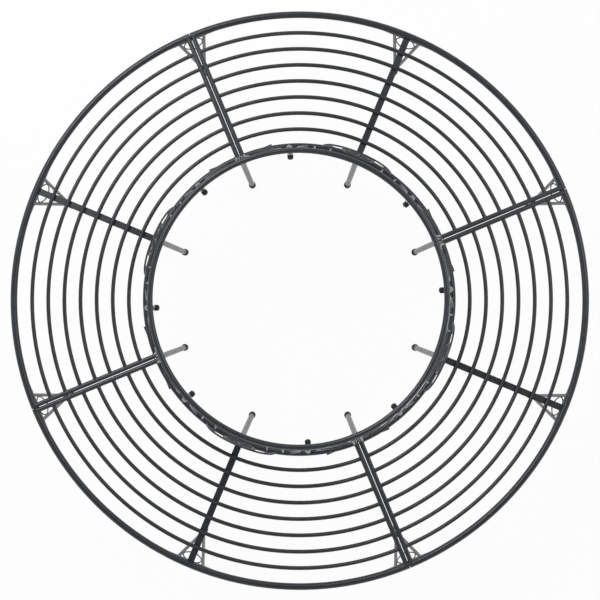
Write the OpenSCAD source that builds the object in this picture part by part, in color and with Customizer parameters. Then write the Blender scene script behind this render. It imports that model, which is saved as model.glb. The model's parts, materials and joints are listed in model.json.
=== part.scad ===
// Round tree bench with a low backrest: four steel sections on sixteen bolted legs.
// Origin on the floor at the centre of the ring, Z up, all sizes in millimetres.
// Each section is modelled with its middle on +X and then turned into place.

/* [Seat] */
// Outside diameter of the seat
seat_od = 1600; // [1400:10:2000]
// Height of the seat above the floor
seat_h = 430; // [380:5:480]
// Diameter of the outer rail tube
outer_rail_d = 18.5; // [17:0.5:22]
// Diameter of the inner rail tube
inner_rail_d = 16; // [15.5:0.5:20]
// Centreline radius of the inner rail
inner_rail_r = 424.5; // [405:0.5:480]
// Wall of the rails, bars, posts and inner legs
tube_wall = 1.5; // [1:0.1:2]
// Number of curved rods in a section
rod_count = 7; // [5:1:8]
// Diameter of the curved rods
rod_d = 11; // [8:0.5:11.5]
// Inner rail centreline to the first rod
rod_start = 46.7; // [35:0.1:60]
// Last rod to the outer rail centreline
rod_finish = 51.3; // [35:0.1:60]
// Depth of the rods below the top of the rails
rod_drop = 1; // [0.6:0.1:2]
// Diameter of the end bars
end_bar_d = 13; // [12:0.5:15]
// Depth of the end bars below the top of the rails
end_bar_drop = 0.5; // [0.3:0.1:0.5]
// Gap between neighbouring sections
joint_gap = 1.5; // [1:0.5:6]
// Width of the flat middle bar
middle_bar_w = 18.5; // [12:0.5:25]
// Thickness of the flat middle bar
middle_bar_t = 3.5; // [3:0.5:4.5]

/* [Backrest] */
// Height of the backrest above the seat
back_h = 330; // [250:5:420]
// Centreline radius of the top rail
top_rail_r = 372; // [345:1:390]
// Diameter of the top rail tube
top_rail_d = 14; // [13:0.5:18]
// Diameter of the end posts
end_post_d = 15; // [13:0.5:15]
// Diameter of the bolted posts
post_d = 15; // [13:0.5:16]
// Angle of the bolted posts from the middle of the section
post_angle = 26; // [25:0.5:27]
// Length of the bolted posts below the seat
post_drop = 35; // [25:1:60]
// Diameter of the upright and bowed rods
back_rod_d = 6; // [4:0.5:8]
// Angle of the inner uprights
upright_in_angle = 10.5; // [9:0.5:12]
// Angle of the outer uprights
upright_out_angle = 16.5; // [15:0.5:17]
// Angle of the inner bows at the rails
bow_in_foot = 18.5; // [18.5:0.5:20]
// Angle of the inner bows at half height
bow_in_waist = 23; // [21.5:0.5:23]
// Angle of the outer bows at the rails
bow_out_foot = 41; // [39:0.5:41]
// Angle of the outer bows at half height
bow_out_waist = 29.5; // [29:0.5:33]

/* [Ornament] */
// Outside diameter of the ornament ring
orn_ring_d = 96; // [80:1:105]
// Rod of the ornament ring
orn_rod_d = 6; // [4:0.5:8]
// Rod of the divider and the two lobes
lobe_rod_d = 4; // [3:0.5:5]
// Depth by which welded rods of the ornament and legs run into each other
weld_sink = 1; // [0.6:0.1:1.5]
// Rod of the arch
arch_rod_d = 5; // [4:0.5:6]
// Angle of the feet of the arch
arch_angle = 14; // [12.5:0.5:14]
// Gap between the ornament ring and the arch over it
arch_clear = 2.5; // [1:0.5:20]

/* [Outer legs] */
// Radius of the outer feet
outer_foot_r = 764; // [700:1:790]
// Length of the strip under the outer rail
outer_strip_l = 138; // [125:1:180]
// Width of the outer strip
outer_strip_w = 16; // [16:1:30]
// Thickness of the leg strips
strip_t = 5; // [4:0.5:8]
// How far the middle of the outer strip lies inside the rail centreline
outer_strip_inset = 1.5; // [0.5:0.5:4]
// Diameter of the two V rods
v_rod_d = 9.5; // [8:0.5:11]
// Half the spread of the V rods under the strip
v_spread = 39; // [32:1:45]
// Height at which the V rods end inside the stub
v_foot_h = 86; // [60:1:110]
// Half the spread of the V rods where they end
v_foot_spread = 3; // [2:0.5:3]
// Diameter of the stub
stub_d = 16; // [15:0.5:18]
// Height of the top of the stub
stub_h = 96; // [92:1:130]
// Depth of the middle of the oval ring below the seat
oval_depth = 80; // [78:1:130]
// Outside height of the oval ring
oval_h = 104; // [80:1:106]
// Wire of the oval ring
oval_wire_d = 3.5; // [3:0.5:6]

/* [Inner legs] */
// Radius of the inner feet
inner_foot_r = 383; // [360:1:410]
// Radius of the inner legs under the strip
inner_leg_top_r = 418; // [410:1:425]
// Diameter of the inner leg tube
inner_leg_d = 16; // [14:0.5:17]
// Length of the strip under the inner rail
inner_strip_l = 187; // [170:1:200]
// Width of the inner strip
inner_strip_w = 17; // [16:1:25]
// How far the middle of the inner strip lies inside the rail centreline
inner_strip_inset = 5; // [2:0.5:5]

/* [Foot caps] */
// Outside diameter of the foot caps
foot_cap_d = 21; // [20.5:0.5:26]
// Height of the foot caps
foot_cap_h = 25; // [18:1:35]
// Floor of the foot caps
foot_cap_floor = 4; // [3:0.5:8]
// Chamfer round the bottom of the foot caps
foot_cap_chamfer = 1.2; // [0.5:0.1:1.8]

/* [Fasteners] */
// Thread of the leg bolts
leg_bolt_d = 6; // [5:0.5:6]
// Hexagon across flats of the leg bolts
leg_bolt_af = 10; // [9:0.5:12]
// Head height of the leg bolts
leg_bolt_head_h = 4; // [3:0.5:6]
// Length of the leg bolts that stands in the rail
leg_bolt_in_rail = 7; // [5:0.5:9]
// Distance along an outer strip from a V rod to the bolt beside it
outer_bolt_gap = 12; // [11:0.5:16]
// Half the distance between the bolts of an inner strip
inner_bolt_y = 75; // [65:1:78]
// Thread of the backrest studs and joint bolts
back_bolt_d = 8; // [6:0.5:8]
// Head diameter of the joint bolts
back_bolt_head_d = 14; // [12:0.5:16]
// Head height of the joint bolts
back_bolt_head_h = 3.5; // [2.5:0.5:5]
// Length of thread that stands out of a nut
bolt_tip = 2; // [1:0.5:3]
// Depth of the joint bolts below the middle of the top rail
joint_bolt_drop = 18; // [17:1:60]
// Hexagon across flats of the nuts
nut_af = 13; // [12:0.5:13]
// Height of the nuts with their flange
nut_h = 8; // [6:0.5:9]
// Diameter of the nut flange
nut_flange_d = 18; // [16:0.5:20]
// Thickness of the nut flange
nut_flange_t = 1.6; // [1:0.1:2.5]
// Hexagon across flats of the nut caps
nut_cap_af = 16.5; // [15.5:0.5:19]
// Straight length of the nut caps, before the dome
nut_cap_side = 7.5; // [5:0.5:9]
// Height of the dome of the nut caps
nut_cap_dome = 6; // [4.5:0.5:6]
// Side clearance of bolts in their holes and tubes in their caps
fit = 0.2; // [0.1:0.05:0.4]

/* [Hidden] */

steel = [0.20, 0.22, 0.24];
plastic = [0.05, 0.05, 0.06];
zinc = [0.72, 0.73, 0.75];

// Facets of long arcs and of small round shapes
arc_fn = 240;
round_fn = 36;

// The first joint lies 22.5 degrees from +X, and legs follow every 45 degrees
section_count = 4;
section_turn = 360 / section_count;
half_turn = section_turn / 2;
first_joint = 22.5;
leg_count = 2 * section_count;
leg_turn = 360 / leg_count;

// How far short of a centreline a coped end stops
cope = 1;
post_cope = 3;

outer_rail_r = (seat_od - outer_rail_d) / 2;
outer_rail_z = seat_h - outer_rail_d / 2;
inner_rail_z = seat_h - inner_rail_d / 2;
top_rail_z = seat_h + back_h - top_rail_d / 2;
end_bar_z = seat_h - end_bar_drop - end_bar_d / 2;
end_bar_y = (joint_gap + end_bar_d) / 2;
end_post_y = (joint_gap + end_post_d) / 2;
rod_z = seat_h - rod_drop - rod_d / 2;
rod_first_r = inner_rail_r + rod_start;
rod_pitch = (outer_rail_r - rod_finish - rod_first_r) / (rod_count - 1);
middle_bar_top = rod_z - rod_d / 2;

outer_strip_r = outer_rail_r - outer_strip_inset;
inner_strip_r = inner_rail_r - inner_strip_inset;
outer_bolt_y = v_spread + outer_bolt_gap;
outer_strip_top = seat_h - outer_rail_d;
inner_strip_top = seat_h - inner_rail_d;

// The bolted posts stand upright where they pass the tree side of the inner rail,
// and curve from there to the top rail
post_r = inner_rail_r - (inner_rail_d + post_d) / 2;
post_run = post_r - top_rail_r;
post_rise = top_rail_z - inner_rail_z;
post_curve_r = (post_run ^ 2 + post_rise ^ 2) / (2 * post_run);
nut_seat_r = post_r - post_d / 2 - (nut_flange_d / 2) ^ 2 / (2 * post_curve_r);

end_post_lean = atan2(inner_rail_r - top_rail_r, top_rail_z - inner_rail_z);
end_post_l = norm([inner_rail_r - top_rail_r, top_rail_z - inner_rail_z]);

v_top_z = outer_strip_top - strip_t / 2;
v_top_r = outer_strip_r;
inner_lean = atan2(inner_leg_top_r - inner_foot_r, inner_strip_top - strip_t - foot_cap_floor);

stud_tip_r = nut_seat_r - nut_h - bolt_tip;
clamp_joint = joint_gap + 2 * end_post_d;
joint_bolt_z = top_rail_z - joint_bolt_drop;
joint_bolt_r = top_rail_r + (inner_rail_r - top_rail_r) * joint_bolt_drop / (top_rail_z - inner_rail_z);

// Turns a section from +X to place number 1 to 4
module section(number) {
    rotate([0, 0, first_joint + half_turn + (number - 1) * section_turn]) children();
}

// Turns a leg from +X to place number 1 to 8
module leg_place(number) {
    rotate([0, 0, first_joint + (number - 1) * leg_turn]) children();
}

// Puts children at both ends of a section, +Y being into the section
module at_section_ends() {
    for (side = [-1, 1])
        rotate([0, 0, side * half_turn])
            mirror([0, side > 0 ? 1 : 0, 0])
                children();
}

// Puts children at an angle on both sides of the section's middle
module at_both(angle) {
    for (side = [-1, 1]) rotate([0, 0, side * angle]) children();
}

// Straight tube along +Z
module tube(d, l) {
    difference() {
        cylinder(h = l, d = d, $fn = round_fn);
        translate([0, 0, -1]) cylinder(h = l + 2, d = d - 2 * tube_wall, $fn = round_fn);
    }
}

// Tube bent round the Z axis, as wide as a section less half the joint gap at each end
module rail_arc(r, z, d) {
    half = half_turn - asin(joint_gap / 2 / r);
    translate([0, 0, z])
        rotate([0, 0, -half])
            rotate_extrude(angle = 2 * half, $fn = arc_fn)
                translate([r, 0])
                    difference() {
                        circle(d = d, $fn = round_fn);
                        circle(d = d - 2 * tube_wall, $fn = round_fn);
                    }
}

// Solid ring in the place of a rail, which copes what is welded to the rail
module rail_cut(r, z, d) {
    translate([0, 0, z])
        rotate_extrude($fn = arc_fn)
            translate([r, 0])
                circle(d = d, $fn = round_fn);
}

module outer_rail_cut() { rail_cut(outer_rail_r, outer_rail_z, outer_rail_d); }
module inner_rail_cut() { rail_cut(inner_rail_r, inner_rail_z, inner_rail_d); }
module top_rail_cut() { rail_cut(top_rail_r, top_rail_z, top_rail_d); }

// Solid bars in the place of the end bars, which cope the rods and the end posts
module end_bar_cut() {
    at_section_ends()
        translate([inner_rail_r, end_bar_y, end_bar_z])
            rotate([0, 90, 0])
                cylinder(h = outer_rail_r - inner_rail_r, d = end_bar_d, $fn = round_fn);
}

// Place of a leg bolt on a rail of radius r, at the tangential distance y
function on_rail(r, y) = [sqrt(r ^ 2 - y ^ 2), y, 0];

// Holes for the leg bolts through the underside of a section's rail
module rail_bolt_holes(r, underside, y) {
    for (side = [-1, 1])
        translate(on_rail(r, side * y) + [0, 0, underside - 1])
            cylinder(h = tube_wall + 5, d = leg_bolt_d + 2 * fit, $fn = round_fn);
    at_section_ends()
        translate(on_rail(r, y) + [0, 0, underside - 1])
            cylinder(h = tube_wall + 5, d = leg_bolt_d + 2 * fit, $fn = round_fn);
}

// Radial hole for a stud through a bolted post
module stud_holes() {
    at_both(post_angle)
        translate([post_r - post_d, 0, inner_rail_z])
            rotate([0, 90, 0])
                cylinder(h = 2 * post_d, d = back_bolt_d + 2 * fit, $fn = round_fn);
}

// Rod along the arc from a to c that passes through b
module arc_rod(a, b, c, d) {
    u = b - a;
    v = c - a;
    w = cross(u, v);
    centre = a + (norm(v) ^ 2 * cross(w, u) + norm(u) ^ 2 * cross(v, w)) / (2 * norm(w) ^ 2);
    r = norm(a - centre);
    z_dir = w / norm(w);
    x_dir = (a - centre) / r;
    y_dir = cross(z_dir, x_dir);
    sweep = (atan2((c - centre) * y_dir, (c - centre) * x_dir) + 360) % 360;
    multmatrix([
        [x_dir.x, y_dir.x, z_dir.x, centre.x],
        [x_dir.y, y_dir.y, z_dir.y, centre.y],
        [x_dir.z, y_dir.z, z_dir.z, centre.z]
    ])
        rotate_extrude(angle = sweep, $fn = arc_fn)
            translate([r, 0])
                circle(d = d, $fn = round_fn);
}

// Point of the leaning backrest at an angle, from 0 at the inner rail to 1 at the top rail
function back_point(angle, share) =
    let (r = inner_rail_r + (top_rail_r - inner_rail_r) * share)
    [r * cos(angle), r * sin(angle), inner_rail_z + (top_rail_z - inner_rail_z) * share];

module seat_outer_rail(number) {
    color(steel)
        section(number)
            difference() {
                rail_arc(outer_rail_r, outer_rail_z, outer_rail_d);
                rail_bolt_holes(outer_rail_r, outer_strip_top, outer_bolt_y);
            }
}

module seat_inner_rail(number) {
    color(steel)
        section(number)
            difference() {
                rail_arc(inner_rail_r, inner_rail_z, inner_rail_d);
                rail_bolt_holes(inner_rail_r, inner_strip_top, inner_bolt_y);
            }
}

// The rods are coped to the end bars and rest on the middle bar
module seat_rods(number) {
    color(steel)
        section(number)
            difference() {
                for (i = [0 : rod_count - 1]) {
                    r = rod_first_r + i * rod_pitch;
                    half = half_turn - asin((end_bar_y + cope) / r);
                    translate([0, 0, rod_z])
                        rotate([0, 0, -half])
                            rotate_extrude(angle = 2 * half, $fn = arc_fn)
                                translate([r, 0])
                                    rotate(90) circle(d = rod_d, $fn = round_fn);
                }
                end_bar_cut();
            }
}

module seat_end_bars(number) {
    color(steel)
        section(number)
            difference() {
                at_section_ends()
                    translate([inner_rail_r + cope, end_bar_y, end_bar_z])
                        rotate([0, 90, 0])
                            tube(end_bar_d, outer_rail_r - inner_rail_r - 2 * cope);
                inner_rail_cut();
                outer_rail_cut();
            }
}

// Flat bar under the rods, butted into both rails above the leg strips
module seat_middle_bar(number) {
    from = inner_rail_r + inner_rail_d / 4;
    to = outer_rail_r - outer_rail_d / 4;
    color(steel)
        section(number)
            difference() {
                translate([from, -middle_bar_w / 2, middle_bar_top - middle_bar_t])
                    cube([to - from, middle_bar_w, middle_bar_t]);
                inner_rail_cut();
                outer_rail_cut();
            }
}

module backrest_top_rail(number) {
    color(steel)
        section(number)
            rail_arc(top_rail_r, top_rail_z, top_rail_d);
}

// Post that stands on the inner rail and leans to the top rail
module end_post() {
    translate([inner_rail_r, end_post_y, inner_rail_z])
        rotate([0, -end_post_lean, 0])
            translate([0, 0, post_cope])
                tube(end_post_d, end_post_l - 2 * post_cope);
}

// Post that passes the inner rail and curves inwards to the top rail
module bolted_post() {
    below = asin((post_drop - inner_rail_d / 2) / post_curve_r);
    above = asin((post_rise - post_cope) / post_curve_r);
    translate([post_r - post_curve_r, 0, inner_rail_z])
        rotate([90, 0, 0])
            rotate([0, 0, -below])
                rotate_extrude(angle = below + above, $fn = 2 * arc_fn)
                    translate([post_curve_r, 0])
                        difference() {
                            circle(d = post_d, $fn = round_fn);
                            circle(d = post_d - 2 * tube_wall, $fn = round_fn);
                        }
}

module backrest_posts(number) {
    color(steel)
        section(number)
            difference() {
                union() {
                    at_section_ends() end_post();
                    at_both(post_angle) bolted_post();
                }
                inner_rail_cut();
                top_rail_cut();
                end_bar_cut();
                stud_holes();
                at_section_ends()
                    translate([joint_bolt_r, -joint_gap, joint_bolt_z])
                        rotate([-90, 0, 0])
                            cylinder(h = joint_gap + 2 * end_post_d, d = back_bolt_d + 2 * fit, $fn = round_fn);
            }
}

// Two pairs of uprights, and two pairs of bowed rods that turn their backs to the bolted posts
module backrest_bars(number) {
    color(steel)
        section(number)
            difference() {
                union() {
                    for (angle = [upright_in_angle, upright_out_angle])
                        at_both(angle)
                            translate([inner_rail_r, 0, inner_rail_z])
                                rotate([0, -end_post_lean, 0])
                                    translate([0, 0, post_cope])
                                        cylinder(h = end_post_l - 2 * post_cope, d = back_rod_d, $fn = round_fn);
                    for (side = [-1, 1], bow = [[bow_in_foot, bow_in_waist], [bow_out_foot, bow_out_waist]])
                        arc_rod(
                            back_point(side * bow[0], 0),
                            back_point(side * bow[1], 0.5),
                            back_point(side * bow[0], 1),
                            back_rod_d
                        );
                }
                inner_rail_cut();
                top_rail_cut();
            }
}

// Ring with a divider and two lobes, and an arch over it, all standing on the inner rail
module backrest_ornament(number) {
    ring_r = (orn_ring_d - orn_rod_d) / 2;
    ring_z = seat_h - weld_sink + orn_ring_d / 2;
    lobe_from = lobe_rod_d / 2 - weld_sink;
    lobe_to = orn_ring_d / 2 - orn_rod_d + weld_sink;
    lobe_d = lobe_to - lobe_from;
    arch_top = seat_h - weld_sink + orn_ring_d + arch_clear + arch_rod_d / 2;
    color(steel)
        section(number)
            difference() {
                union() {
                    translate([inner_rail_r, 0, ring_z])
                        rotate([0, 90, 0]) {
                            rotate_extrude($fn = arc_fn / 2)
                                translate([ring_r, 0])
                                    circle(d = orn_rod_d, $fn = round_fn);
                            for (side = [-1, 1])
                                translate([0, side * (lobe_from + lobe_d / 2), 0])
                                    rotate_extrude($fn = arc_fn / 3)
                                        translate([(lobe_d - lobe_rod_d) / 2, 0])
                                            circle(d = lobe_rod_d, $fn = round_fn);
                        }
                    translate([inner_rail_r, 0, inner_rail_z])
                        cylinder(h = arch_top - inner_rail_z, d = lobe_rod_d, $fn = round_fn);
                    arc_rod(
                        back_point(-arch_angle, 0),
                        [inner_rail_r, 0, arch_top],
                        back_point(arch_angle, 0),
                        arch_rod_d
                    );
                }
                inner_rail_cut();
            }
}

// Strip across the underside of a rail, with its two bolt holes
module leg_strip(strip_r, top, l, w, rail_r, bolt_y) {
    difference() {
        translate([strip_r - w / 2, -l / 2, top - strip_t]) cube([w, l, strip_t]);
        for (side = [-1, 1])
            translate(on_rail(rail_r, side * bolt_y) + [0, 0, top - strip_t - 1])
                cylinder(h = strip_t + 2, d = leg_bolt_d + 2 * fit, $fn = round_fn);
    }
}

// Closed oval wire in the XY plane, long axis on Y: two bows that meet at the tips
module oval_ring(half_w, half_h, wire_d) {
    bow_r = (half_w ^ 2 + half_h ^ 2) / (2 * half_w);
    bow_half = asin(half_h / bow_r);
    for (turn = [0, 180])
        rotate([0, 0, turn])
            translate([half_w - bow_r, 0, 0])
                rotate([0, 0, -bow_half])
                    rotate_extrude(angle = 2 * bow_half, $fn = arc_fn)
                        translate([bow_r, 0])
                            circle(d = wire_d, $fn = round_fn);
}

// Strip, two V rods, the oval between them and the stub that stands in the foot cap
module outer_leg(number) {
    v_rise = v_top_z - v_foot_h;
    v_run = v_top_r - outer_foot_r;
    v_lean = atan2(v_run, v_rise);
    v_side = v_spread - v_foot_spread;
    rod_l = norm([v_run, v_side, v_rise]);
    rod_tilt = atan2(v_side, norm([v_run, v_rise]));
    oval_up = (seat_h - oval_depth - v_foot_h) / cos(v_lean);
    oval_room = v_foot_spread + tan(rod_tilt) * oval_up - v_rod_d / 2 - oval_wire_d / 2;
    oval_half_w = oval_room + weld_sink;
    color(steel)
        leg_place(number) {
            leg_strip(outer_strip_r, outer_strip_top, outer_strip_l, outer_strip_w, outer_rail_r, outer_bolt_y);
            translate([outer_foot_r, 0, v_foot_h])
                rotate([0, v_lean, 0]) {
                    for (side = [-1, 1])
                        translate([0, side * v_foot_spread, 0])
                            rotate([-side * rod_tilt, 0, 0])
                                cylinder(h = rod_l, d = v_rod_d, $fn = round_fn);
                    translate([0, 0, oval_up])
                        rotate([90, 0, 90])
                            oval_ring(oval_half_w, (oval_h - oval_wire_d) / 2, oval_wire_d);
                }
            translate([outer_foot_r, 0, foot_cap_floor])
                cylinder(h = stub_h - foot_cap_floor, d = stub_d, $fn = round_fn);
        }
}

// Round bar along the line of an inner leg, longer than the leg at both ends
module inner_leg_line(d) {
    extra = 2 * d;
    translate([inner_foot_r, 0, foot_cap_floor])
        rotate([0, inner_lean, 0])
            translate([0, 0, -extra])
                cylinder(h = seat_h + 2 * extra, d = d, $fn = round_fn);
}

// Everything between two heights, round the inner feet
module inner_slab(from, to) {
    translate([0, -inner_rail_r / 4, from]) cube([2 * inner_rail_r, inner_rail_r / 2, to - from]);
}

module inner_leg(number) {
    color(steel)
        leg_place(number) {
            leg_strip(inner_strip_r, inner_strip_top, inner_strip_l, inner_strip_w, inner_rail_r, inner_bolt_y);
            intersection() {
                difference() {
                    inner_leg_line(inner_leg_d);
                    inner_leg_line(inner_leg_d - 2 * tube_wall);
                }
                inner_slab(foot_cap_floor, inner_strip_top - strip_t);
            }
        }
}

// Outside of a foot cap
module foot_cap_body() {
    cylinder(h = foot_cap_chamfer, d1 = foot_cap_d - 2 * foot_cap_chamfer, d2 = foot_cap_d, $fn = round_fn);
    translate([0, 0, foot_cap_chamfer])
        cylinder(h = foot_cap_h - foot_cap_chamfer, d = foot_cap_d, $fn = round_fn);
}

module outer_foot_caps() {
    color(plastic)
        for (number = [1 : leg_count])
            leg_place(number)
                translate([outer_foot_r, 0, 0])
                    difference() {
                        foot_cap_body();
                        translate([0, 0, foot_cap_floor])
                            cylinder(h = foot_cap_h, d = stub_d + 2 * fit, $fn = round_fn);
                    }
}

// The inner caps stand upright, with their bores along the leaning legs
module inner_foot_caps() {
    mid_shift = tan(inner_lean) * (foot_cap_h - foot_cap_floor) / 2;
    color(plastic)
        for (number = [1 : leg_count])
            leg_place(number)
                difference() {
                    translate([inner_foot_r + mid_shift, 0, 0]) foot_cap_body();
                    intersection() {
                        inner_leg_line(inner_leg_d + 2 * fit);
                        inner_slab(foot_cap_floor, foot_cap_h + 1);
                    }
                }
}

// Hexagon bolt with its head below Z = 0 and its shank upwards
module leg_bolt() {
    translate([0, 0, -leg_bolt_head_h])
        cylinder(h = leg_bolt_head_h, d = leg_bolt_af / cos(30), $fn = 6);
    cylinder(h = strip_t + leg_bolt_in_rail, d = leg_bolt_d, $fn = round_fn);
}

module leg_bolts() {
    color(zinc)
        for (number = [1 : leg_count], side = [-1, 1])
            leg_place(number) {
                translate(on_rail(outer_rail_r, side * outer_bolt_y) + [0, 0, outer_strip_top - strip_t])
                    leg_bolt();
                translate(on_rail(inner_rail_r, side * inner_bolt_y) + [0, 0, inner_strip_top - strip_t])
                    leg_bolt();
            }
}

// Round-headed bolt with its head above Z = 0 and its shank down through both end posts
module joint_bolt() {
    dome_r = (back_bolt_head_d ^ 2 / 4 + back_bolt_head_h ^ 2) / (2 * back_bolt_head_h);
    intersection() {
        cylinder(h = back_bolt_head_h, d = back_bolt_head_d + 1, $fn = round_fn);
        translate([0, 0, back_bolt_head_h - dome_r]) sphere(r = dome_r, $fn = 2 * round_fn);
    }
    translate([0, 0, -clamp_joint - nut_h - bolt_tip])
        cylinder(h = clamp_joint + nut_h + bolt_tip, d = back_bolt_d, $fn = round_fn);
}

// Flange nut below Z = 0, its flange on top
module flange_nut() {
    difference() {
        union() {
            translate([0, 0, -nut_flange_t]) cylinder(h = nut_flange_t, d = nut_flange_d, $fn = round_fn);
            translate([0, 0, -nut_h]) cylinder(h = nut_h, d = nut_af / cos(30), $fn = 6);
        }
        translate([0, 0, -nut_h - 1]) cylinder(h = nut_h + 2, d = back_bolt_d + fit, $fn = round_fn);
    }
}

// Places with +Z outwards from the tree, at the stud of each bolted post
module at_studs(r) {
    for (number = [1 : section_count])
        section(number)
            at_both(post_angle)
                translate([r, 0, inner_rail_z])
                    rotate([0, 90, 0])
                        children();
}

// Places with +Z along the bolt of each joint, at a distance from the joint plane
module at_joint_bolts(y) {
    for (number = [1 : section_count])
        rotate([0, 0, first_joint + (number - 1) * section_turn])
            translate([joint_bolt_r, y, joint_bolt_z])
                rotate([-90, 0, 0])
                    children();
}

// Threaded studs welded to the tree side of the inner rail
module backrest_studs() {
    color(zinc)
        difference() {
            at_studs(stud_tip_r) cylinder(h = inner_rail_r - stud_tip_r, d = back_bolt_d, $fn = round_fn);
            inner_rail_cut();
        }
}

module joint_bolts() {
    color(zinc) at_joint_bolts(clamp_joint / 2) joint_bolt();
}

module flange_nuts() {
    color(zinc) {
        at_studs(nut_seat_r) flange_nut();
        at_joint_bolts(-clamp_joint / 2) flange_nut();
    }
}

// Hexagon caps with domed ends, pushed over the nuts with their open ends on the flanges
module backrest_nut_caps() {
    corner_r = nut_cap_af / 2 / cos(30);
    dome_r = (corner_r ^ 2 + nut_cap_dome ^ 2) / (2 * nut_cap_dome);
    cap_h = nut_cap_side + nut_cap_dome;
    bore_depth = nut_h - nut_flange_t + bolt_tip + fit;
    color(plastic)
        at_studs(nut_seat_r - nut_flange_t)
            difference() {
                intersection() {
                    translate([0, 0, -cap_h]) cylinder(h = cap_h, r = corner_r, $fn = 6);
                    translate([0, 0, dome_r - cap_h]) sphere(r = dome_r, $fn = 2 * round_fn);
                }
                translate([0, 0, -bore_depth])
                    cylinder(h = bore_depth + 1, d = (nut_af + 2 * fit) / cos(30), $fn = 6);
            }
}

seat_outer_rail(1);  // seat_outer_rail_1
seat_outer_rail(2);  // seat_outer_rail_2
seat_outer_rail(3);  // seat_outer_rail_3
seat_outer_rail(4);  // seat_outer_rail_4
seat_inner_rail(1);  // seat_inner_rail_1
seat_inner_rail(2);  // seat_inner_rail_2
seat_inner_rail(3);  // seat_inner_rail_3
seat_inner_rail(4);  // seat_inner_rail_4
seat_rods(1);  // seat_rods_1
seat_rods(2);  // seat_rods_2
seat_rods(3);  // seat_rods_3
seat_rods(4);  // seat_rods_4
seat_end_bars(1);  // seat_end_bars_1
seat_end_bars(2);  // seat_end_bars_2
seat_end_bars(3);  // seat_end_bars_3
seat_end_bars(4);  // seat_end_bars_4
seat_middle_bar(1);  // seat_middle_bar_1
seat_middle_bar(2);  // seat_middle_bar_2
seat_middle_bar(3);  // seat_middle_bar_3
seat_middle_bar(4);  // seat_middle_bar_4
backrest_top_rail(1);  // backrest_top_rail_1
backrest_top_rail(2);  // backrest_top_rail_2
backrest_top_rail(3);  // backrest_top_rail_3
backrest_top_rail(4);  // backrest_top_rail_4
backrest_posts(1);  // backrest_posts_1
backrest_posts(2);  // backrest_posts_2
backrest_posts(3);  // backrest_posts_3
backrest_posts(4);  // backrest_posts_4
backrest_bars(1);  // backrest_bars_1
backrest_bars(2);  // backrest_bars_2
backrest_bars(3);  // backrest_bars_3
backrest_bars(4);  // backrest_bars_4
backrest_ornament(1);  // backrest_ornament_1
backrest_ornament(2);  // backrest_ornament_2
backrest_ornament(3);  // backrest_ornament_3
backrest_ornament(4);  // backrest_ornament_4
outer_leg(1);  // outer_leg_1
outer_leg(2);  // outer_leg_2
outer_leg(3);  // outer_leg_3
outer_leg(4);  // outer_leg_4
outer_leg(5);  // outer_leg_5
outer_leg(6);  // outer_leg_6
outer_leg(7);  // outer_leg_7
outer_leg(8);  // outer_leg_8
inner_leg(1);  // inner_leg_1
inner_leg(2);  // inner_leg_2
inner_leg(3);  // inner_leg_3
inner_leg(4);  // inner_leg_4
inner_leg(5);  // inner_leg_5
inner_leg(6);  // inner_leg_6
inner_leg(7);  // inner_leg_7
inner_leg(8);  // inner_leg_8
outer_foot_caps();
inner_foot_caps();
leg_bolts();
backrest_studs();
joint_bolts();
flange_nuts();
backrest_nut_caps();
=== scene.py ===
"""Looks for the round tree bench.

Powder coat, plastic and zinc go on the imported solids. The weld beads, the floor, the light and
the camera are made here.
"""

import json
import math
import random

import bpy
from mathutils import Matrix, Vector


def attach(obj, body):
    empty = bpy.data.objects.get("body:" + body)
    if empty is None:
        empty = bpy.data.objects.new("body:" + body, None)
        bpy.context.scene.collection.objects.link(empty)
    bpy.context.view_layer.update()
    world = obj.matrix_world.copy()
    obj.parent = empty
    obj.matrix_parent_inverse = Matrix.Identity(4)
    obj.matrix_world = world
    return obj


MM = 0.001

# Sizes of the bench in metres, as in the solids. Names in _R, _Y and _Z place centrelines.
OUTER_RAIL_R, OUTER_RAIL_D = 790.75 * MM, 18.5 * MM
INNER_RAIL_R, INNER_RAIL_D = 424.5 * MM, 16 * MM
TOP_RAIL_R, TOP_RAIL_D = 372 * MM, 14 * MM
SEAT_H, BACK_H = 430 * MM, 330 * MM
OUTER_RAIL_Z = SEAT_H - OUTER_RAIL_D / 2
INNER_RAIL_Z = SEAT_H - INNER_RAIL_D / 2
TOP_RAIL_Z = SEAT_H + BACK_H - TOP_RAIL_D / 2
ROD_COUNT, ROD_D, ROD_DROP = 7, 11 * MM, 1 * MM
ROD_FIRST_R, ROD_PITCH = 471.2 * MM, 44.7083 * MM
ROD_Z = SEAT_H - ROD_DROP - ROD_D / 2
END_BAR_D, END_BAR_DROP, END_POST_D, JOINT_GAP = 13 * MM, 0.5 * MM, 15 * MM, 1.5 * MM
END_BAR_Z = SEAT_H - END_BAR_DROP - END_BAR_D / 2
END_BAR_Y, END_POST_Y = (JOINT_GAP + END_BAR_D) / 2, (JOINT_GAP + END_POST_D) / 2
MIDDLE_BAR_TOP = ROD_Z - ROD_D / 2
BACK_ROD_D, POST_D = 6 * MM, 15 * MM
ARCH_TOP_Z, ARCH_ROD_D = SEAT_H + 100 * MM, 5 * MM
STRIP_T = 5 * MM
OUTER_STRIP_BOTTOM = SEAT_H - OUTER_RAIL_D - STRIP_T
INNER_STRIP_BOTTOM = SEAT_H - INNER_RAIL_D - STRIP_T
# Ends of one of the two V rods, for a leg on the X axis
V_FOOT = Vector((764 * MM, 3 * MM, 86 * MM))
V_TOP = Vector((789.25 * MM, 39 * MM, OUTER_STRIP_BOTTOM + 2.5 * MM))
V_ROD_D = 9.5 * MM
INNER_FOOT_R, INNER_TOP_R, INNER_LEG_D = 383 * MM, 418 * MM, 16 * MM
CAP_FLOOR = 4 * MM

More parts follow.
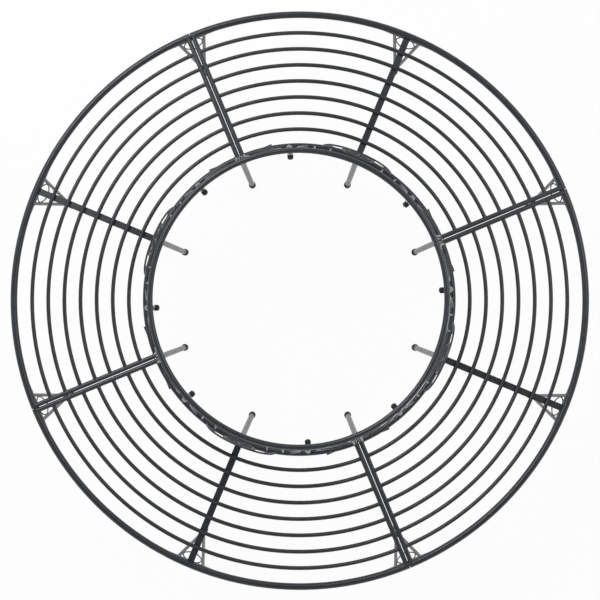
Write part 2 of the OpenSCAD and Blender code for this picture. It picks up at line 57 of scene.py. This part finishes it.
# A bolted post is an arc that starts upright at the inner rail and leans at the top rail.
POST_RUN = INNER_RAIL_R - (INNER_RAIL_D + POST_D) / 2 - TOP_RAIL_R
POST_CURVE_R = (POST_RUN ** 2 + (TOP_RAIL_Z - INNER_RAIL_Z) ** 2) / (2 * POST_RUN)

# Angles in degrees: the uprights, the bolted post, the ends of the arch and the foot and waist
# of each bow, all from a section's middle, then the turns from one section or leg to the next
UPRIGHT_ANGLES, POST_ANGLE, ARCH_ANGLE = (10.5, 16.5), 26.0, 14.0
BOWS = ((18.5, 23.0), (41.0, 29.5))
SECTIONS, SECTION_TURN, FIRST_JOINT = 4, 90.0, 22.5
LEG_COUNT, LEG_TURN = 8, 45.0

# Radii of the weld beads
ROD_BEAD, END_BAR_BEAD, MIDDLE_BAR_BEAD = 1.1 * MM, 1.3 * MM, 1.0 * MM
BACK_ROD_BEAD, END_POST_BEAD, POST_BEAD, RING_BEAD = 0.9 * MM, 1.3 * MM, 1.2 * MM, 1.1 * MM
V_ROD_BEAD, INNER_LEG_BEAD = 1.3 * MM, 1.4 * MM

# Form of the weld beads: their sides, then shares of the radius, which are the thinnest place,
# how much thicker others are, and what is left at an open end
BEAD_SIDES, THICK_BEAD_SIDES = 6, 7
THINNEST, RIPPLE, OPEN_END = 0.85, 0.3, 0.35
BACKREST_SEED, LEG_SEED = 10, 30

# How the line is found on which a rod meets another piece: points in the line, halvings of the
# distance, how far before the other piece the search starts, and how many lengths of an inner
# leg it covers
SADDLE_POINTS, HALVINGS = 20, 22
REACH, LEG_REACH = 20 * MM, 1.1

# Straight beads: their points in millimetres, how far they are from the middle of the rod or
# rail that they lie beside, and their height over the piece under them
MIDDLE_BAR_RUN, MIDDLE_BAR_ACROSS, MIDDLE_BAR_LIFT = range(-6, 7, 2), ROD_D * 0.22, 0.5 * MM
RING_RUN, RING_ACROSS, RING_LIFT = range(-5, 6, 2), 2.4 * MM, 0.2 * MM

# Colours of the surfaces, linear
COAT_DARK, COAT_PALE = (0.0195, 0.0235, 0.0275), (0.0275, 0.0325, 0.0375)
COAT_RUBBED = (0.042, 0.048, 0.055)
PLASTIC_DARK, PLASTIC_PALE = (0.008, 0.008, 0.009), (0.014, 0.014, 0.015)
ZINC_DARK, ZINC_PALE = (0.48, 0.49, 0.51), (0.62, 0.63, 0.65)

# Where noise or pointiness starts to change a surface and where the change is whole, and how
# far specks and worn edges go towards the rubbed colour
MOTTLE_PLACES, SPECK_PLACES, WEAR_PLACES = (0.3, 0.7), (0.62, 0.75), (0.53, 0.62)
SPECK_SHARE, WEAR_SHARE = 0.35, 0.3
NOISE_DETAIL, FINE_DETAIL = 3.0, 2.0

# The photograph: the camera hangs almost over the middle and its axis leans a little. The shift
# puts the bench back in the middle of the frame.
CAMERA_DISTANCE = 3.5
CAMERA_AT = Vector((20.9 * MM, -18.1 * MM, SEAT_H + CAMERA_DISTANCE))
CAMERA_BACK = Vector((0.0113, -0.0248, 1.0))
CAMERA_SHIFT = (0.01284, -0.04309)
SEEN_WIDTH = 1.6554
SENSOR = 36.0
CLIP_END = 100.0

# The studio: the world's strength at the horizon and overhead, and the heights of the direction
# between which it changes
WORLD_HORIZON, WORLD_ZENITH = 1.0, 0.16
HORIZON_ENDS, ZENITH_STARTS = 0.15, 0.97
FLOOR_HALF = 30.0
FLOOR_GREY, FLOOR_ROUGHNESS, FLOOR_GLOW = 0.9, 0.9, 0.94

# Disk lamps: name, place, aim, diameter and watts
LAMPS = (
    ("key", (-1.6, 1.9, 3.4), (-0.3, 0.3, 0.4), 2.4, 74),
    ("fill", (2.2, 0.8, 3.4), (0.3, 0.2, 0.4), 2.0, 28),
)


# Nodes

def new_material(name):
    """An empty node material, its tree and its Principled shader."""
    mat = bpy.data.materials.new(name)
    mat.use_nodes = True
    return mat, mat.node_tree, mat.node_tree.nodes["Principled BSDF"]


def feed(tree, socket, value):
    """Links an output to a socket, or sets the socket to a constant."""
    if isinstance(value, bpy.types.NodeSocket):
        tree.links.new(value, socket)
    else:
        socket.default_value = value


def add(tree, kind, **inputs):
    """A node with some of its inputs fed. An underscore stands for a space in an input's name."""
    node = tree.nodes.new(kind)
    for key, value in inputs.items():
        feed(tree, node.inputs[key.replace("_", " ")], value)
    return node


def combine(tree, operation, a, b):
    """Result of a Math node."""
    node = add(tree, "ShaderNodeMath")
    node.operation = operation
    feed(tree, node.inputs[0], a)
    feed(tree, node.inputs[1], b)
    return node.outputs[0]


def grey(value):
    """A grey as a colour."""
    return (value, value, value)


def ramp(tree, source, places, low, high):
    """Maps a value to one colour up to the first place and to another from the second on."""
    node = add(tree, "ShaderNodeValToRGB", Fac=source)
    for element, place, colour in zip(node.color_ramp.elements, places, (low, high)):
        element.position = place
        element.color = (*colour, 1)
    return node.outputs["Color"]


def noise(tree, scale, detail=NOISE_DETAIL):
    """Noise on the piece's own coordinates, with scale cells to a metre."""
    place = add(tree, "ShaderNodeTexCoord").outputs["Object"]
    return add(tree, "ShaderNodeTexNoise", Vector=place, Scale=scale, Detail=detail).outputs["Fac"]


def mottle(tree, scale, low, high):
    """Uneven mixture of two colours."""
    return ramp(tree, noise(tree, scale), MOTTLE_PLACES, low, high)


def grain(tree, shader, scale, strength, depth, detail=FINE_DETAIL):
    """Fine bumps on a surface."""
    height = noise(tree, scale, detail)
    bump = add(tree, "ShaderNodeBump", Strength=strength, Distance=depth, Height=height)
    feed(tree, shader.inputs["Normal"], bump.outputs["Normal"])


# Materials

def powder_coat():
    """Dark slate powder coat: fine orange peel, faint cloudiness and paler rubbed edges."""
    mat, tree, shader = new_material("powder_coat")
    cloud = mottle(tree, scale=9.0, low=COAT_DARK, high=COAT_PALE)
    grit = noise(tree, scale=900.0, detail=FINE_DETAIL)
    speck = ramp(tree, grit, SPECK_PLACES, grey(0.0), grey(SPECK_SHARE))
    edges = add(tree, "ShaderNodeNewGeometry").outputs["Pointiness"]
    wear = ramp(tree, edges, WEAR_PLACES, grey(0.0), grey(WEAR_SHARE))
    lighter = add(tree, "ShaderNodeMix")
    lighter.data_type = "RGBA"
    feed(tree, lighter.inputs["Factor"], combine(tree, "MAXIMUM", speck, wear))
    feed(tree, lighter.inputs["A"], cloud)
    feed(tree, lighter.inputs["B"], (*COAT_RUBBED, 1))
    feed(tree, shader.inputs["Base Color"], lighter.outputs["Result"])
    dulling = mottle(tree, scale=40.0, low=grey(0.27), high=grey(0.37))
    feed(tree, shader.inputs["Roughness"], dulling)
    feed(tree, shader.inputs["IOR"], 1.5)
    grain(tree, shader, scale=420.0, strength=0.25, depth=0.4 * MM)
    return mat


def black_plastic():
    """Moulded black plastic with a fine spark-eroded grain."""
    mat, tree, shader = new_material("black_plastic")
    colour = mottle(tree, scale=60.0, low=PLASTIC_DARK, high=PLASTIC_PALE)
    dulling = mottle(tree, scale=150.0, low=grey(0.16), high=grey(0.24))
    feed(tree, shader.inputs["Base Color"], colour)
    feed(tree, shader.inputs["Roughness"], dulling)
    grain(tree, shader, scale=1400.0, strength=0.3, depth=0.3 * MM)
    return mat


def zinc():
    """Zinc-plated steel with a slightly uneven, dulled surface."""
    mat, tree, shader = new_material("zinc")
    colour = mottle(tree, scale=120.0, low=ZINC_DARK, high=ZINC_PALE)
    dulling = mottle(tree, scale=300.0, low=grey(0.28), high=grey(0.42))
    feed(tree, shader.inputs["Base Color"], colour)
    feed(tree, shader.inputs["Metallic"], 1.0)
    feed(tree, shader.inputs["Roughness"], dulling)
    grain(tree, shader, scale=2500.0, strength=0.2, depth=0.2 * MM, detail=NOISE_DETAIL)
    return mat


def floor_material():
    """Floor that is almost plain white to the camera and in reflections.

    The share that isn't glow keeps the bench's soft shadow.
    """
    mat, tree, shader = new_material("studio_floor")
    feed(tree, shader.inputs["Base Color"], (*grey(FLOOR_GREY), 1))
    feed(tree, shader.inputs["Roughness"], FLOOR_ROUGHNESS)
    feed(tree, shader.inputs["Specular IOR Level"], 0.0)
    path = add(tree, "ShaderNodeLightPath").outputs
    seen = combine(tree, "MAXIMUM", path["Is Camera Ray"], path["Is Glossy Ray"])
    seen = combine(tree, "MAXIMUM", seen, path["Is Transmission Ray"])
    white = add(tree, "ShaderNodeEmission", Color=(1, 1, 1, 1), Strength=1.0)
    mix = add(tree, "ShaderNodeMixShader", Fac=combine(tree, "MULTIPLY", seen, FLOOR_GLOW))
    feed(tree, mix.inputs[1], shader.outputs[0])
    feed(tree, mix.inputs[2], white.outputs[0])
    feed(tree, tree.nodes["Material Output"].inputs["Surface"], mix.outputs[0])
    return mat


# Geometry of the welds

def rotated(point, degrees):
    """A point turned round the Z axis."""
    a = math.radians(degrees)
    return Vector((
        point.x * math.cos(a) - point.y * math.sin(a),
        point.x * math.sin(a) + point.y * math.cos(a),
        point.z,
    ))


def ring_surface(r, z, d):
    """Distance of a point from a rail's surface."""
    return lambda p: math.hypot(math.hypot(p.x, p.y) - r, p.z - z) - d / 2


def bar_surface(point, direction, d):
    """Distance of a point from a straight round bar's surface."""
    return lambda p: (p - point).cross(direction).length - d / 2


def plane_surface(z):
    """Distance of a point below a horizontal face."""
    return lambda p: z - p.z


def saddle(start, direction, rod_d, surface, reach):
    """Closed line on which a round rod that leaves start along direction meets a surface."""
    direction = direction.normalized()
    side = direction.orthogonal().normalized()
    across = direction.cross(side)
    line = []
    for k in range(SADDLE_POINTS):
        a = 2 * math.pi * k / SADDLE_POINTS
        base = start + (side * math.cos(a) + across * math.sin(a)) * rod_d / 2
        low, high = 0.0, reach
        if surface(base + direction * high) > 0:
            continue  # this side of the rod misses the surface
        for _ in range(HALVINGS):
            middle = (low + high) / 2
            if surface(base + direction * middle) > 0:
                low = middle
            else:
                high = middle
        line.append(base + direction * low)
    return line


def back_point(angle, share):
    """Point of the leaning backrest, with share 0 at the inner rail and 1 at the top rail."""
    r = INNER_RAIL_R + (TOP_RAIL_R - INNER_RAIL_R) * share
    z = INNER_RAIL_Z + (TOP_RAIL_Z - INNER_RAIL_Z) * share
    return rotated(Vector((r, 0, z)), angle)


def arc_ends(a, b, c):
    """Directions in which the arc from a to c through b arrives at a and at c."""
    u, v = b - a, c - a
    w = u.cross(v)
    towards = v.length_squared * w.cross(u) + u.length_squared * v.cross(w)
    centre = a + towards / (2 * w.length_squared)
    return -w.cross(a - centre).normalized(), w.cross(c - centre).normalized()


def section_middle(number):
    """Angle of a section's middle."""
    return FIRST_JOINT + SECTION_TURN / 2 + (number - 1) * SECTION_TURN


class Beads:
    """Collects weld beads into one mesh."""

    def __init__(self, name, seed):
        self.name = name
        self.verts = []
        self.faces = []
        self.random = random.Random(seed)

    def add(self, line, radius, closed=True, sides=BEAD_SIDES):
        """A rippled tube along a line of points."""
        count = len(line)
        if count < 3:
            return
        first = len(self.verts)
        for k, point in enumerate(line):
            before = line[(k - 1) % count] if closed or k else point
            after = line[(k + 1) % count] if closed or k < count - 1 else point
            along = (after - before).normalized()
            side = along.orthogonal().normalized()
            across = along.cross(side)
            r = radius * (THINNEST + RIPPLE * self.random.random())
            if not closed and k in (0, count - 1):
                r *= OPEN_END
            for j in range(sides):
                a = 2 * math.pi * j / sides
                self.verts.append(point + (side * math.cos(a) + across * math.sin(a)) * r)
        for k in range(count if closed else count - 1):
            low, high = first + k * sides, first + (k + 1) % count * sides
            for j in range(sides):
                n = (j + 1) % sides
                self.faces.append((low + j, low + n, high + n, high + j))
        if not closed:
            last = first + (count - 1) * sides
            self.faces.append(tuple(first + j for j in reversed(range(sides))))
            self.faces.append(tuple(last + j for j in range(sides)))

    def add_straight(self, r, z, run, turn, radius):
        """A short bead with open ends, square to the radius at the angle turn."""
        line = [rotated(Vector((r, y * MM, z)), turn) for y in run]
        self.add(line, radius, closed=False)

    def finish(self, mat):
        """The piece itself, riding on the bench."""
        mesh = bpy.data.meshes.new(self.name)
        mesh.from_pydata([tuple(v) for v in self.verts], [], self.faces)
        mesh.polygons.foreach_set("use_smooth", [True] * len(mesh.polygons))
        mesh.materials.append(mat)
        mesh.update()
        piece = bpy.data.objects.new(self.name, mesh)
        bpy.context.scene.collection.objects.link(piece)
        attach(piece, "root")


def seat_welds(number, mat):
    """Beads between a section's rods, bars and rails."""
    turn = section_middle(number)
    beads = Beads(f"seat_welds_{number}", number)
    outer = ring_surface(OUTER_RAIL_R, OUTER_RAIL_Z, OUTER_RAIL_D)
    inner = ring_surface(INNER_RAIL_R, INNER_RAIL_Z, INNER_RAIL_D)
    middle = (INNER_RAIL_R + OUTER_RAIL_R) / 2
    rod_radii = [ROD_FIRST_R + i * ROD_PITCH for i in range(ROD_COUNT)]
    for side in (-1, 1):
        end_turn = turn + side * SECTION_TURN / 2
        bar_y = -side * END_BAR_Y
        radial = rotated(Vector((1, 0, 0)), end_turn)
        tangent = rotated(Vector((0, side, 0)), end_turn)
        bar = bar_surface(rotated(Vector((0, bar_y, END_BAR_Z)), end_turn), radial, END_BAR_D)
        for r in rod_radii:
            start = rotated(Vector((r, bar_y - side * REACH, ROD_Z)), end_turn)
            beads.add(saddle(start, tangent, ROD_D, bar, REACH), ROD_BEAD)
        start = rotated(Vector((middle, bar_y, END_BAR_Z)), end_turn)
        for direction, rail, reach in (
            (radial, outer, OUTER_RAIL_R - middle),
            (-radial, inner, middle - INNER_RAIL_R),
        ):
            line = saddle(start, direction, END_BAR_D, rail, reach)
            beads.add(line, END_BAR_BEAD, sides=THICK_BEAD_SIDES)
    for r in rod_radii:
        for side in (-1, 1):
            beads.add_straight(
                r + side * MIDDLE_BAR_ACROSS, MIDDLE_BAR_TOP + MIDDLE_BAR_LIFT,
                MIDDLE_BAR_RUN, turn, MIDDLE_BAR_BEAD,
            )
    beads.finish(mat)


def backrest_welds(number, mat):
    """Beads between a section's backrest pieces and its rails."""
    turn = section_middle(number)
    beads = Beads(f"backrest_welds_{number}", BACKREST_SEED + number)
    inner = ring_surface(INNER_RAIL_R, INNER_RAIL_Z, INNER_RAIL_D)
    top = ring_surface(TOP_RAIL_R, TOP_RAIL_Z, TOP_RAIL_D)
    up = Vector((TOP_RAIL_R - INNER_RAIL_R, 0, TOP_RAIL_Z - INNER_RAIL_Z))
    halfway = Vector((INNER_RAIL_R, 0, INNER_RAIL_Z)) + up / 2
    for side in (-1, 1):
        # Uprights and the end post: angle, distance beside the radius, diameter and bead
        straight = [
            *((turn + side * angle, 0.0, BACK_ROD_D, BACK_ROD_BEAD) for angle in UPRIGHT_ANGLES),
            (turn + side * SECTION_TURN / 2, -side * END_POST_Y, END_POST_D, END_POST_BEAD),
        ]
        for angle, y, d, bead in straight:
            start = rotated(halfway + Vector((0, y, 0)), angle)
            direction = rotated(up, angle)
            beads.add(saddle(start, direction, d, top, up.length / 2), bead)
            beads.add(saddle(start, -direction, d, inner, up.length / 2), bead)
        for foot, waist in BOWS:
            low, high = back_point(side * foot, 0), back_point(side * foot, 1)
            down, rise = arc_ends(low, back_point(side * waist, share=0.5), high)
            for end, direction, rail in ((low, down, inner), (high, rise, top)):
                start = rotated(end - direction * REACH, turn)
                line = saddle(start, rotated(direction, turn), BACK_ROD_D, rail, REACH)
                beads.add(line, BACK_ROD_BEAD)
        # The bolted post is welded at the top only.
        post_turn = turn + side * POST_ANGLE
        lean = math.asin((TOP_RAIL_Z - INNER_RAIL_Z) / POST_CURVE_R)
        rise = rotated(Vector((-math.sin(lean), 0, math.cos(lean))), post_turn)
        start = rotated(Vector((TOP_RAIL_R, 0, TOP_RAIL_Z)), post_turn) - rise * REACH
        beads.add(saddle(start, rise, POST_D, top, REACH), POST_BEAD)
    low, high = back_point(-ARCH_ANGLE, 0), back_point(ARCH_ANGLE, 0)
    crown = Vector((INNER_RAIL_R, 0, ARCH_TOP_Z))
    for end, direction in zip((low, high), arc_ends(low, crown, high)):
        start = rotated(end - direction * REACH, turn)
        line = saddle(start, rotated(direction, turn), ARCH_ROD_D, inner, REACH)
        beads.add(line, BACK_ROD_BEAD)
    for side in (-1, 1):
        beads.add_straight(
            INNER_RAIL_R + side * RING_ACROSS, SEAT_H + RING_LIFT, RING_RUN, turn, RING_BEAD,
        )
    beads.finish(mat)


def leg_welds(mat):
    """Beads between the legs and the strips that they hang from."""
    beads = Beads("leg_welds", LEG_SEED)
    under_outer = plane_surface(OUTER_STRIP_BOTTOM)
    under_inner = plane_surface(INNER_STRIP_BOTTOM)
    inner_foot = Vector((INNER_FOOT_R, 0, CAP_FLOOR))
    inner_run = Vector((INNER_TOP_R, 0, INNER_STRIP_BOTTOM)) - inner_foot
    for number in range(LEG_COUNT):
        turn = FIRST_JOINT + number * LEG_TURN
        for side in (-1, 1):
            foot = Vector((V_FOOT.x, side * V_FOOT.y, V_FOOT.z))
            run = Vector((V_TOP.x, side * V_TOP.y, V_TOP.z)) - foot
            start, direction = rotated(foot, turn), rotated(run, turn)
            beads.add(saddle(start, direction, V_ROD_D, under_outer, run.length), V_ROD_BEAD)
        start, direction = rotated(inner_foot, turn), rotated(inner_run, turn)
        reach = inner_run.length * LEG_REACH
        beads.add(saddle(start, direction, INNER_LEG_D, under_inner, reach), INNER_LEG_BEAD)
    beads.finish(mat)


# Stage

def make_floor():
    """A flat floor, wider than any view."""
    mesh = bpy.data.meshes.new("floor")
    half = FLOOR_HALF
    square = [(-half, -half, 0), (half, -half, 0), (half, half, 0), (-half, half, 0)]
    mesh.from_pydata(square, [], [(0, 1, 2, 3)])
    mesh.materials.append(floor_material())
    floor = bpy.data.objects.new("floor", mesh)
    bpy.context.scene.collection.objects.link(floor)


def make_world():
    """White at the horizon and grey overhead. The camera sees it white everywhere."""
    world = bpy.data.worlds.new("studio")
    bpy.context.scene.world = world
    world.use_nodes = True
    tree = world.node_tree
    direction = add(tree, "ShaderNodeTexCoord").outputs["Generated"]
    height = add(tree, "ShaderNodeSeparateXYZ", Vector=direction).outputs["Z"]
    strength = add(
        tree, "ShaderNodeMapRange", Value=height, From_Min=HORIZON_ENDS, From_Max=ZENITH_STARTS,
        To_Min=WORLD_HORIZON, To_Max=WORLD_ZENITH,
    ).outputs["Result"]
    camera_ray = add(tree, "ShaderNodeLightPath").outputs["Is Camera Ray"]
    background = tree.nodes["Background"]
    feed(tree, background.inputs["Color"], (1, 1, 1, 1))
    feed(tree, background.inputs["Strength"], combine(tree, "MAXIMUM", camera_ray, strength))


def area_light(name, at, towards, size, watts):
    """A round softbox."""
    data = bpy.data.lights.new(name, "AREA")
    data.shape = "DISK"
    data.size = size
    data.energy = watts
    lamp = bpy.data.objects.new(name, data)
    lamp.location = at
    lamp.rotation_euler = (Vector(towards) - Vector(at)).to_track_quat("-Z", "Y").to_euler()
    bpy.context.scene.collection.objects.link(lamp)


def make_camera():
    """The photograph's camera."""
    data = bpy.data.cameras.new("camera")
    data.sensor_width = SENSOR
    data.lens = SENSOR * CAMERA_DISTANCE / SEEN_WIDTH
    data.shift_x, data.shift_y = CAMERA_SHIFT
    data.clip_end = CLIP_END
    camera = bpy.data.objects.new("camera", data)
    back = CAMERA_BACK.normalized()
    right = Vector((0, 1, 0)).cross(back).normalized()
    axes = Matrix((right, back.cross(right), back)).transposed()
    camera.matrix_world = Matrix.Translation(CAMERA_AT) @ axes.to_4x4()
    bpy.context.scene.collection.objects.link(camera)
    bpy.context.scene.camera = camera


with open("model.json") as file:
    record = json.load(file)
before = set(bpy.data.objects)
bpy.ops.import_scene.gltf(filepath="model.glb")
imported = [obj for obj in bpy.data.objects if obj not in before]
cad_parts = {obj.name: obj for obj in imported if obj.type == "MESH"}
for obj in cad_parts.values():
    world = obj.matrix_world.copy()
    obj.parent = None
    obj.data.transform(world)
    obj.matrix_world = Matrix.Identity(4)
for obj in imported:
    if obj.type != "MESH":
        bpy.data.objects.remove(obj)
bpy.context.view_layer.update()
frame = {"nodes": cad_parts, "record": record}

bpy.context.scene.view_settings.view_transform = "Standard"
SLOT_MATERIALS = {
    "powder_coated_steel": powder_coat(),
    "black_plastic": black_plastic(),
    "zinc_plated_steel": zinc(),
}
node_slots = {row["node"]: row["material_slot"] for row in frame["record"]["subparts"]}
for name, node in frame["nodes"].items():
    node.data.materials.clear()
    node.data.materials.append(SLOT_MATERIALS[node_slots[name]])

coat = SLOT_MATERIALS["powder_coated_steel"]
for section in range(1, SECTIONS + 1):
    seat_welds(section, coat)
    backrest_welds(section, coat)
leg_welds(coat)

make_floor()
make_world()
for lamp in LAMPS:
    area_light(*lamp)
make_camera()
